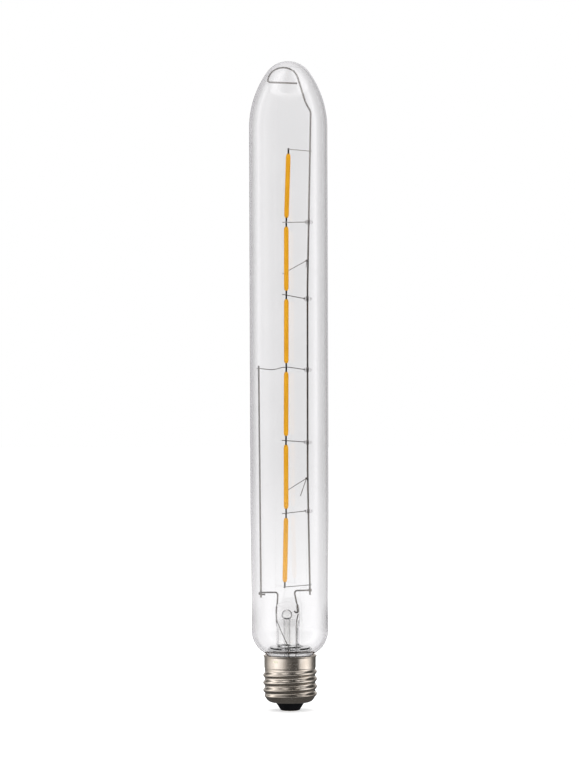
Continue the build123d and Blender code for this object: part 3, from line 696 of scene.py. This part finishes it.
def ring_on(bm, ring, radius, height):
    """Extrudes a ring of edges and moves the new ring to a radius and height."""
    made = bmesh.ops.extrude_edge_only(bm, edges=ring)["geom"]
    for vert in (g for g in made if isinstance(g, bmesh.types.BMVert)):
        out = Vector((vert.co.x, vert.co.y, 0)).normalized() * radius
        vert.co = (out.x, out.y, height)
    return [g for g in made if isinstance(g, bmesh.types.BMEdge) and g.is_boundary]


class BULB_OT_screw_shell(bpy.types.Operator):
    """Roll the screw shell with its thread, collar and rim"""

    bl_idname = "bulb.screw_shell"
    bl_label = "Screw shell"

    def execute(self, context):
        c = sizes("cap")
        bm = bmesh.new()
        self.wind_thread(bm, c)
        self.form_side(bm, c)
        self.close_shell(bm, c)
        bmesh.ops.recalc_face_normals(bm, faces=bm.faces)
        sharpen(bm, 32)
        colours = sizes("finishes")
        nickel = metal_material(
            "Rolled nickel", colours.nickel, colours.nickel_dull, 0.16, 0.34, 140.0, 2200.0, 0.000012
        )
        finish_piece(bm, "cap_shell_rolled", nickel, ["cap_shell"])
        return {"FINISHED"}

    def wind_thread(self, bm, c):
        """Draws one pitch of the thread's section and winds it up through the cap."""
        slope = math.degrees(c.flank)
        half = c.crest_round * math.sin(c.flank)
        dip = c.crest_round * (1 - math.cos(c.flank))
        depth = c.crest_radius - c.root_radius
        root_half = c.pitch / 2 - half - (depth - 2 * dip) / math.tan(c.flank)
        root_round = root_half / math.sin(c.flank)
        root_dip = root_round * (1 - math.cos(c.flank))
        root_half = c.pitch / 2 - half - (depth - dip - root_dip) / math.tan(c.flank)
        start = c.thread_bottom - 1.5 * c.pitch
        pen = bm.verts.new((c.root_radius, 0, start))
        pen = arc_on(bm, pen, (c.root_radius + root_round, start), -slope, 5)
        crest_z = start + c.pitch / 2
        pen = line_to(bm, pen, c.crest_radius - dip, crest_z - half)
        pen = arc_on(bm, pen, (c.crest_radius - c.crest_round, crest_z), 2 * slope, 10)
        top = start + c.pitch
        pen = line_to(bm, pen, pen.co.x - (depth - dip - root_dip), top - (root_half))
        pen = arc_on(bm, pen, (c.root_radius + root_round, top), -slope, 5)
        turns = math.ceil((c.thread_top - c.thread_bottom) / c.pitch) + 2
        steps = turns * c.facets
        geom = list(bm.verts) + list(bm.edges)
        bmesh.ops.spin(
            bm,
            geom=geom,
            cent=(0, 0, 0),
            axis=(0, 0, 1),
            dvec=(0, 0, turns * c.pitch / steps),
            angle=turns * 2 * math.pi,
            steps=steps,
        )
        bmesh.ops.rotate(bm, verts=bm.verts, cent=(0, 0, 0), matrix=Matrix.Rotation(c.phase, 3, "Z"))
        bmesh.ops.remove_doubles(bm, verts=bm.verts, dist=2e-6)

    def form_side(self, bm, c):
        """Fades the thread out at both ends and cuts it level."""
        bend = c.floor_height + c.floor_round
        for vert in bm.verts:
            radius = math.hypot(vert.co.x, vert.co.y)
            height = vert.co.z
            fade = smooth_step(c.thread_bottom, c.thread_bottom + 1.6 * c.run_out, height)
            fade *= 1 - smooth_step(c.thread_top - c.run_out, c.thread_top, height)
            base = c.root_radius
            if height < bend:
                fall = min(bend - height, c.floor_round * 0.98)
                base -= c.floor_round - math.sqrt(c.floor_round**2 - fall**2)
            new = base + (radius - c.root_radius) * fade
            vert.co.x *= new / radius
            vert.co.y *= new / radius
        for height, outwards in ((c.thread_top, 1), (c.thread_bottom, -1)):
            bmesh.ops.bisect_plane(
                bm,
                geom=list(bm.verts) + list(bm.edges) + list(bm.faces),
                plane_co=(0, 0, height),
                plane_no=(0, 0, outwards),
                clear_outer=True,
                dist=1e-7,
            )

    def close_shell(self, bm, c):
        """Adds the floor, the inside, the collar and the rim."""
        boundary = [e for e in bm.edges if e.is_boundary]
        top = [e for e in boundary if e.verts[0].co.z > c.thread_top - 1e-5]
        ring = [e for e in boundary if e.verts[0].co.z < c.thread_bottom + 1e-5]
        bend_x = c.root_radius - c.floor_round
        bend_z = c.floor_height + c.floor_round
        low = math.degrees(math.asin((bend_z - c.thread_bottom) / c.floor_round))
        inner = c.floor_round - c.wall
        flare = (c.lip_radius - c.collar_radius) / c.lip_height
        steps = []
        for step in range(1, 9):
            angle = math.radians(low + (90 - low) * step / 8)
            out, down = c.floor_round * math.cos(angle), c.floor_round * math.sin(angle)
            steps.append((bend_x + out, bend_z - down))
        steps += [(c.mouth_radius, c.floor_height), (c.mouth_radius, c.floor_height + c.wall)]
        for step in range(9):
            angle = math.radians(90 - 90 * step / 8)
            steps.append((bend_x + inner * math.cos(angle), bend_z - inner * math.sin(angle)))
        steps += [
            (c.root_radius - c.wall, c.thread_top - c.wall),
            (c.collar_radius - c.wall, c.thread_top + c.wall),
            (c.collar_radius - c.wall, c.rim_height - c.lip_height),
            (c.lip_radius - c.wall, c.rim_height - 0.00004),
            (c.lip_radius - c.wall * 0.75, c.rim_height),
            (c.lip_radius - c.wall * 0.2, c.rim_height),
            (c.lip_radius, c.rim_height - 0.00008),
            (c.lip_radius - 0.00012 * flare, c.rim_height - 0.0003),
            (c.collar_radius + 0.00008, c.rim_height - c.lip_height * 0.8),
            (c.collar_radius, c.rim_height - c.lip_height * 1.1),
            (c.collar_radius, c.thread_top + 0.0009),
            (c.collar_radius - 0.00006, c.thread_top + 0.0005),
            (c.root_radius + 0.00006, c.thread_top + 0.00015),
        ]
        for radius, height in steps:
            ring = ring_on(bm, ring, radius, height)
        bmesh.ops.bridge_loops(bm, edges=top + ring)


class BULB_OT_cap_base(bpy.types.Operator):
    """Mould the black insulator and press the centre contact"""

    bl_idname = "bulb.cap_base"
    bl_label = "Insulator and contact"

    def execute(self, context):
        c = sizes("cap")
        self.insulator(c)
        self.contact(c)
        dress(["contact_solder"], solder_material())
        return {"FINISHED"}

    def insulator(self, c):
        """The black glass cone in the shell's mouth."""
        low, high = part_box("cap_insulator")
        foot, top, flange = low.z, high.z, high.x
        mouth = c.mouth_radius - seat_gap
        seat = c.floor_height + c.wall + seat_gap
        pocket = c.contact_radius + seat_gap
        bore, pocket_top = 0.00122, 0.00072
        bm = bmesh.new()
        points = [(flange, top), (flange, seat), (mouth, seat), (mouth, c.floor_height)]
        points.append((c.insulator_bottom + 0.00022, foot + 0.00045))
        pen = lines_to(bm, bm.verts.new((bore, 0, top)), points)
        pen = arc_on(bm, pen, (c.insulator_bottom - 0.0003, foot + 0.0005), -80, 8)
        lines_to(bm, pen, [(pocket, foot), (pocket, pocket_top), (bore, pocket_top), (bore, top)])
        turn_round(bm, 128)
        sharpen(bm, 38)
        colours = sizes("finishes")
        deep = [c * 1.6 for c in colours.black_glass]
        glass = body_material("Black glass", colours.black_glass, deep, 0.12, 0.25, gloss=0.05)
        finish_piece(bm, "cap_insulator_moulded", glass, ["cap_insulator"])

    def contact(self, c):
        """The contact plate with its eyelet."""
        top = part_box("centre_contact")[1].z
        bm = bmesh.new()
        edge, plate, eyelet, bore, dimple = 0.0003, 0.0007, 0.0012, 0.0008, 0.0015
        pen = line_to(bm, bm.verts.new((dimple, 0, 0)), c.contact_radius - edge, 0)
        pen = arc_on(bm, pen, (c.contact_radius - edge, edge), 90, 8)
        points = [(c.contact_radius, plate), (eyelet, plate), (eyelet, top), (bore, top)]
        lines_to(bm, pen, points + [(bore, 0.0005), (dimple, 0)])
        turn_round(bm, 96)
        sharpen(bm, 38)
        colours = sizes("finishes")
        brass = metal_material("Contact", colours.contact, [c * 0.7 for c in colours.contact], 0.2, 0.42)
        finish_piece(bm, "centre_contact_pressed", brass, ["centre_contact"])


class BULB_OT_collar_solder(bpy.types.Operator):
    """Melt the solder spot onto the collar"""

    bl_idname = "bulb.collar_solder"
    bl_label = "Collar solder"

    def execute(self, context):
        m, c = sizes("mount"), sizes("cap")
        low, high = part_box("collar_solder")
        middle = (low + high) / 2
        azimuth = math.atan2(middle.y, middle.x)
        bm = bmesh.new()
        bmesh.ops.create_icosphere(bm, subdivisions=5, radius=1.0)
        for vert in bm.verts:
            lump = 1 + 0.16 * noise.noise(vert.co * 1.7 + Vector((4.0, 1.0, 2.0)))
            vert.co *= lump
        spread = (0.00034, m.solder_length / 2 * 0.9, m.solder_width / 2 * 0.9)
        bmesh.ops.scale(bm, verts=bm.verts, vec=spread)
        for vert in bm.verts:
            along = vert.co.y / c.collar_radius
            out = c.collar_radius - 0.00004 + vert.co.x
            turned = azimuth + along
            vert.co = (out * math.cos(turned), out * math.sin(turned), middle.z + vert.co.z)
        bmesh.ops.recalc_face_normals(bm, faces=bm.faces)
        sharpen(bm, 60)
        finish_piece(bm, "collar_solder_melted", solder_material(), ["collar_solder"])
        return {"FINISHED"}


class BULB_OT_filaments(bpy.types.Operator):
    """Coat the filaments and finish their terminals"""

    bl_idname = "bulb.filaments"
    bl_label = "Filaments"

    def execute(self, context):
        m, colours = sizes("mount"), sizes("finishes")
        coating = body_material(
            "Filament coating", colours.coating, colours.coating_deep, 0.45, 0.6, 90.0, 1400.0, 0.00003,
            gloss=0.1,
        )
        for number in filament_numbers:
            name = f"filament_{number}"
            low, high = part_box(name)
            lean = (self.end_of(number, "upper") - self.end_of(number, "lower")).normalized()
            bm = bmesh.new()
            lines_to(bm, bm.verts.new((0, 0, -m.filament_length / 2)), self.outline(m))
            turn_round(bm, 32)
            for vert in bm.verts:
                around = math.atan2(vert.co.y, vert.co.x)
                ripple = noise.noise(Vector((vert.co.z * 420, number * 7.0, around)))
                wave = noise.noise(Vector((vert.co.z * 110, number * 3.0, 0)))
                grow = 1 - 0.02 + 0.02 * ripple + 0.012 * wave
                vert.co.x *= grow
                vert.co.y *= grow
            turned = lean.to_track_quat("Z", "Y").to_matrix()
            bmesh.ops.transform(bm, verts=bm.verts, matrix=turned.to_4x4())
            bmesh.ops.translate(bm, verts=bm.verts, vec=(low + high) / 2)
            sharpen(bm, 60)
            finish_piece(bm, name + "_coated", coating, [name])
        dull = [c * 0.7 for c in colours.terminal]
        terminal = metal_material("Terminal strip", colours.terminal, dull, 0.3, 0.45, 400.0)
        dress(terminal_nodes, terminal)
        return {"FINISHED"}

    def outline(self, m):
        """Half of a filament's outline from its lower end up, measured from its middle."""
        half = m.filament_length / 2
        reach = 2 * (half - m.filament_taper)
        rows = 60
        points = [(m.filament_tip * 0.8, -half), (m.filament_tip, 0.0001 - half)]
        for share in (0.25, 0.5, 0.75, 1.0):
            points.append((self.width(m, share), m.filament_taper * share - half))
        for row in range(1, rows + 1):
            points.append((m.filament_radius, m.filament_taper - half + reach * row / rows))
        for share in (0.75, 0.5, 0.25, 0.0):
            points.append((self.width(m, share), half - m.filament_taper * share))
        return points + [(m.filament_tip * 0.8, half), (0, half)]

    def width(self, m, share):
        """A filament's radius at a share of its tapered end."""
        return m.filament_tip + (m.filament_radius - m.filament_tip) * math.sin(share * math.pi / 2)

    def end_of(self, number, end):
        """The middle of one of a filament's terminals."""
        low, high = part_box(f"filament_{number}_{end}_terminal")
        return (low + high) / 2


class BULB_OT_glass_beads(bpy.types.Operator):
    """Melt the glass beads onto the right support wire"""

    bl_idname = "bulb.glass_beads"
    bl_label = "Glass beads"

    def execute(self, context):
        m = sizes("mount")
        glass = clear_glass_material("Bead glass", sizes("finishes").stem_glass, 0.01, 14.0, 1.42)
        for number in bead_numbers:
            name = f"glass_bead_{number}"
            low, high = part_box(name)
            bm = bmesh.new()
            bmesh.ops.create_uvsphere(bm, u_segments=48, v_segments=24, radius=1.0)
            for vert in bm.verts:
                swell = 1 + 0.05 * noise.noise(vert.co * 1.3 + Vector((number * 5.0, 0, 0)))
                flat = 1 - 0.12 * smooth_step(0.6, 1.0, abs(vert.co.z))
                vert.co = Vector((vert.co.x, vert.co.y, vert.co.z * flat)) * min(1.0, swell)
            bmesh.ops.scale(bm, verts=bm.verts, vec=(m.bead_radius, m.bead_radius, m.bead_height / 2))
            bmesh.ops.translate(bm, verts=bm.verts, vec=(low + high) / 2)
            sharpen(bm, 60)
            finish_piece(bm, name + "_melted", glass, [name])
        return {"FINISHED"}


class BULB_OT_wires(bpy.types.Operator):
    """Finish the support, lead, cross, spring and seal wires"""

    bl_idname = "bulb.wires"
    bl_label = "Wires"

    def execute(self, context):
        colours = sizes("finishes")
        for name in wire_nodes:
            smooth_copy(name, wire_material())
        seal = metal_material("Seal wire", colours.seal, [c * 0.6 for c in colours.seal], 0.3, 0.5, 500.0)
        for name in ["seal_wire_left", "seal_wire_right"]:
            smooth_copy(name, seal)
        tinned = metal_material("Tinned wire", (0.6, 0.59, 0.57), (0.42, 0.41, 0.39), 0.25, 0.4, 500.0)
        for name in ["return_wire", "contact_wire"]:
            smooth_copy(name, tinned)
        return {"FINISHED"}


class BULB_OT_driver(bpy.types.Operator):
    """Finish the driver board, its components and the basing cement"""

    bl_idname = "bulb.driver"
    bl_label = "Driver and cement"

    def execute(self, context):
        cement = sizes("finishes").cement
        aged = [c * 0.75 for c in cement]
        dress(["basing_cement"], body_material(
            "Basing cement", cement, aged, 0.8, 0.95, 400.0, 3000.0, 0.00008
        ))
        dress(["driver_board"], body_material(
            "Board lacquer", (0.02, 0.11, 0.05), (0.012, 0.07, 0.03), 0.25, 0.4, 300.0, coat=0.3
        ))
        dress(["bridge_rectifier", "driver_chip"], body_material(
            "Moulded black", (0.02, 0.02, 0.02), (0.03, 0.03, 0.03), 0.45, 0.6
        ))
        dress(["smoothing_capacitor"], body_material(
            "Capacitor sleeve", (0.015, 0.016, 0.03), (0.01, 0.01, 0.02), 0.25, 0.35, coat=0.3
        ))
        dress(["choke_core"], body_material(
            "Ferrite", (0.045, 0.045, 0.047), (0.03, 0.03, 0.032), 0.6, 0.8
        ))
        dress(["choke_winding"], body_material(
            "Enamelled winding", (0.35, 0.12, 0.04), (0.22, 0.07, 0.02), 0.25, 0.4, 500.0, 4000.0,
            0.00008, 0.4,
        ))
        dress(["fusible_resistor"], body_material(
            "Resistor lacquer", (0.08, 0.22, 0.26), (0.06, 0.16, 0.2), 0.35, 0.5, coat=0.2
        ))
        return {"FINISHED"}


def aim(thing, target):
    """Turns a lamp towards a point."""
    thing.rotation_euler = (Vector(target) - thing.location).to_track_quat("-Z", "Y").to_euler()


class BULB_OT_studio(bpy.types.Operator):
    """Set the floor, backdrop, light and camera"""

    bl_idname = "bulb.studio"
    bl_label = "Studio"

    def execute(self, context):
        s = sizes("studio")
        context.scene.view_settings.view_transform = "Standard"
        self.floor(s)
        self.tent(s)
        self.surroundings(s)
        for name, place, width, height in [
            ("softbox_left", (-1.1, -0.9, 0.45), 0.35, 1.2),
            ("softbox_right", (1.1, -0.9, 0.45), 0.35, 1.2),
            ("softbox_top", (0.0, 0.2, 1.6), 1.0, 1.0),
        ]:
            lamp = bpy.data.lights.new(name, "AREA")
            lamp.shape = "RECTANGLE"
            lamp.size = width
            lamp.size_y = height
            lamp.energy = s.softbox
            box = bpy.data.objects.new(name, lamp)
            box.visible_glossy = False
            box.visible_transmission = False
            context.scene.collection.objects.link(box)
            box.location = place
            aim(box, (0, 0, 0.15))
        view = bpy.data.cameras.new("photo_view")
        view.lens = s.lens
        view.sensor_width = 36.0
        view.clip_start = 0.01
        camera = bpy.data.objects.new("photo_view", view)
        context.scene.collection.objects.link(camera)
        camera.location = (s.across, -s.distance, s.height)
        camera.rotation_euler = (math.radians(90), s.roll, 0)
        context.scene.camera = camera
        return {"FINISHED"}

    def stage_piece(self, bm, name, material):
        """Adds a stage object to the scene."""
        mesh = bpy.data.meshes.new(name)
        bm.to_mesh(mesh)
        bm.free()
        mesh.materials.append(material)
        piece = bpy.data.objects.new(name, mesh)
        bpy.context.scene.collection.objects.link(piece)
        return piece

    def bare_material(self, name):
        """A material with no shader yet, and its node tree."""
        material = bpy.data.materials.new(name)
        material.use_nodes = True
        tree = material.node_tree
        tree.nodes.remove(tree.nodes["Principled BSDF"])
        return material, tree

    def floor(self, s):
        """A pale floor that keeps the bulb's shadow and shows as the backdrop's white."""
        material, tree = self.bare_material("Pale floor")
        strength = add_node(tree, "Math", {0: self.seen(tree), 1: s.floor_glow}, operation="MULTIPLY")
        glow = add_node(tree, "Emission", {"Color": (1, 1, 1, 1), "Strength": strength.outputs[0]})
        matt = add_node(tree, "BsdfDiffuse", {"Color": (0.8, 0.8, 0.8, 1)})
        both = add_node(tree, "AddShader", {0: matt.outputs[0], 1: glow.outputs[0]})
        tree.links.new(both.outputs[0], tree.nodes["Material Output"].inputs["Surface"])
        bm = bmesh.new()
        bmesh.ops.create_grid(bm, x_segments=1, y_segments=1, size=6.0)
        self.stage_piece(bm, "pale_floor", material)

    def seen(self, tree):
        """1 for camera, glossy and transmission rays, and 0 for the rest."""
        path = add_node(tree, "LightPath").outputs
        level = path["Is Camera Ray"]
        for kind in ("Is Glossy Ray", "Is Transmission Ray"):
            level = add_node(tree, "Math", {0: level, 1: path[kind]}, operation="MAXIMUM").outputs[0]
        return level

    def surroundings(self, s):
        """An even white world that lights the bulb a little less than it shows."""
        world = bpy.data.worlds.new("Pale surroundings")
        bpy.context.scene.world = world
        world.use_nodes = True
        tree = world.node_tree
        sky = tree.nodes["Background"]
        sky.inputs["Color"].default_value = (1, 1, 1, 1)
        level = add_node(
            tree, "MapRange", {"To Min": s.fill, "To Max": s.backdrop, "Value": self.seen(tree)}
        )
        tree.links.new(level.outputs["Result"], sky.inputs["Strength"])

    def tent(self, s):
        """A round tent about the bulb that reflections and glass show, with bright and dark sides."""
        material, tree = self.bare_material("Reflected tent")
        place = add_node(tree, "TexCoord").outputs["Object"]
        turned = add_node(tree, "TexGradient", {"Vector": place}, gradient_type="RADIAL").outputs["Fac"]
        height = add_node(tree, "SeparateXYZ", {"Vector": place}).outputs["Z"]
        flat = add_node(tree, "VectorMath", {0: place, 1: (1, 1, 0)}, operation="MULTIPLY")
        reach = add_node(tree, "VectorMath", {0: flat.outputs["Vector"]}, operation="LENGTH")
        cap, low, high, behind, back = (
            self.bands(tree, turned, stops)
            for stops in (cap_bands, low_bands, high_bands, behind_bands, behind_mask)
        )
        under, over = self.height(s, 0.02), self.height(s, 0.97)
        lid = self.blend(tree, reach.outputs["Value"], lid_edge, lid_shade / tent_peak, cap)
        shown = self.blend(tree, height, cap_end, lid, low)
        shown = self.blend(tree, height, low_end, shown, high)
        shown = self.blend(tree, height, over, shown, lid)
        path = add_node(tree, "LightPath").outputs
        clear = self.blend(tree, height, under, 1 / tent_peak, behind)
        lift = self.blend(tree, height, lift_end, floor_lift, 1.0)
        lifted = add_node(tree, "Math", {0: clear, 1: lift}, operation="MULTIPLY").outputs[0]
        mirrored = self.blend(tree, back, (0, 1), shown, lifted)
        clear = self.blend(tree, path["Glossy Depth"], (0, 1), lifted, mirrored)
        clear = self.blend(tree, path["Diffuse Depth"], (0, 1), clear, inner_light / tent_peak)
        mixed = self.blend(tree, path["Is Transmission Ray"], (0, 1), shown, clear)
        scaled = add_node(tree, "Math", {0: mixed, 1: tent_peak}, operation="MULTIPLY")
        cloth = add_node(tree, "Emission", {"Strength": scaled.outputs[0]})
        tree.links.new(cloth.outputs[0], tree.nodes["Material Output"].inputs["Surface"])
        bm = bmesh.new()
        lift = Matrix.Translation((0, 0, s.tent_height / 2 + 0.0004))
        bmesh.ops.create_cone(
            bm, cap_ends=True, segments=96, radius1=s.tent_radius, radius2=s.tent_radius,
            depth=s.tent_height, matrix=lift,
        )
        tent = self.stage_piece(bm, "reflected_tent", material)
        tent.visible_camera = False
        tent.visible_diffuse = False
        tent.visible_shadow = False

    def height(self, s, share):
        """A short range of heights about a share of the tent's height."""
        return s.tent_height * share - 0.005, s.tent_height * share + 0.005

    def blend(self, tree, measure, span, first, second):
        """Goes over from a first level to a second one while a measure passes through a span."""
        limits = {"From Min": span[0], "From Max": span[1], "Value": measure}
        share = add_node(tree, "MapRange", limits).outputs["Result"]
        return add_node(tree, "Mix", {"Factor": share, "A": first, "B": second}).outputs["Result"]

    def bands(self, tree, turned, stops):
        """The tent's brightness round the bulb, from pairs of degrees and level."""
        ramp = add_node(tree, "ValToRGB", {"Fac": turned})
        elements = ramp.color_ramp.elements
        for degrees, level in stops[1:-1]:
            elements.new(0.25 + degrees / 360)
        for element, (degrees, level) in zip(elements, stops):
            shade = level / tent_peak
            element.color = (shade, shade, shade, 1)
        return ramp.outputs["Color"]


piece_operators = [
    BULB_OT_glass_envelope,
    BULB_OT_stem_glass,
    BULB_OT_exhaust_tube,
    BULB_OT_screw_shell,
    BULB_OT_cap_base,
    BULB_OT_collar_solder,
    BULB_OT_filaments,
    BULB_OT_glass_beads,
    BULB_OT_wires,
    BULB_OT_driver,
    BULB_OT_studio,
]

groups = {
    "glass": GlassSizes,
    "stem": StemSizes,
    "cap": CapSizes,
    "mount": MountSizes,
    "finishes": Finishes,
    "studio": StudioSettings,
}


class BULB_PT_panel(bpy.types.Panel):
    """The bulb's sizes, finishes and pieces"""

    bl_idname = "BULB_PT_panel"
    bl_label = "Tubular bulb"
    bl_space_type = "VIEW_3D"
    bl_region_type = "UI"
    bl_category = "Bulb"

    def draw(self, context):
        for operator in piece_operators:
            self.layout.operator(operator.bl_idname)
        for name in groups:
            box = self.layout.box()
            box.label(text=name.capitalize())
            group = sizes(name)
            for key in group.__annotations__:
                box.prop(group, key)


def register():
    """Registers the groups, operators and panel."""
    for name, group in groups.items():
        bpy.utils.register_class(group)
        setattr(bpy.types.Scene, "bulb_" + name, PointerProperty(type=group))
    for operator in piece_operators:
        bpy.utils.register_class(operator)
    bpy.utils.register_class(BULB_PT_panel)


def unregister():
    """Takes the groups, operators and panel out again."""
    bpy.utils.unregister_class(BULB_PT_panel)
    for operator in reversed(piece_operators):
        bpy.utils.unregister_class(operator)
    for name, group in groups.items():
        delattr(bpy.types.Scene, "bulb_" + name)
        bpy.utils.unregister_class(group)


def main():
    """Makes every piece and the studio."""
    register()
    for operator in piece_operators:
        getattr(bpy.ops.bulb, operator.bl_idname.split(".")[1])()


if __name__ == "__main__":
    main()
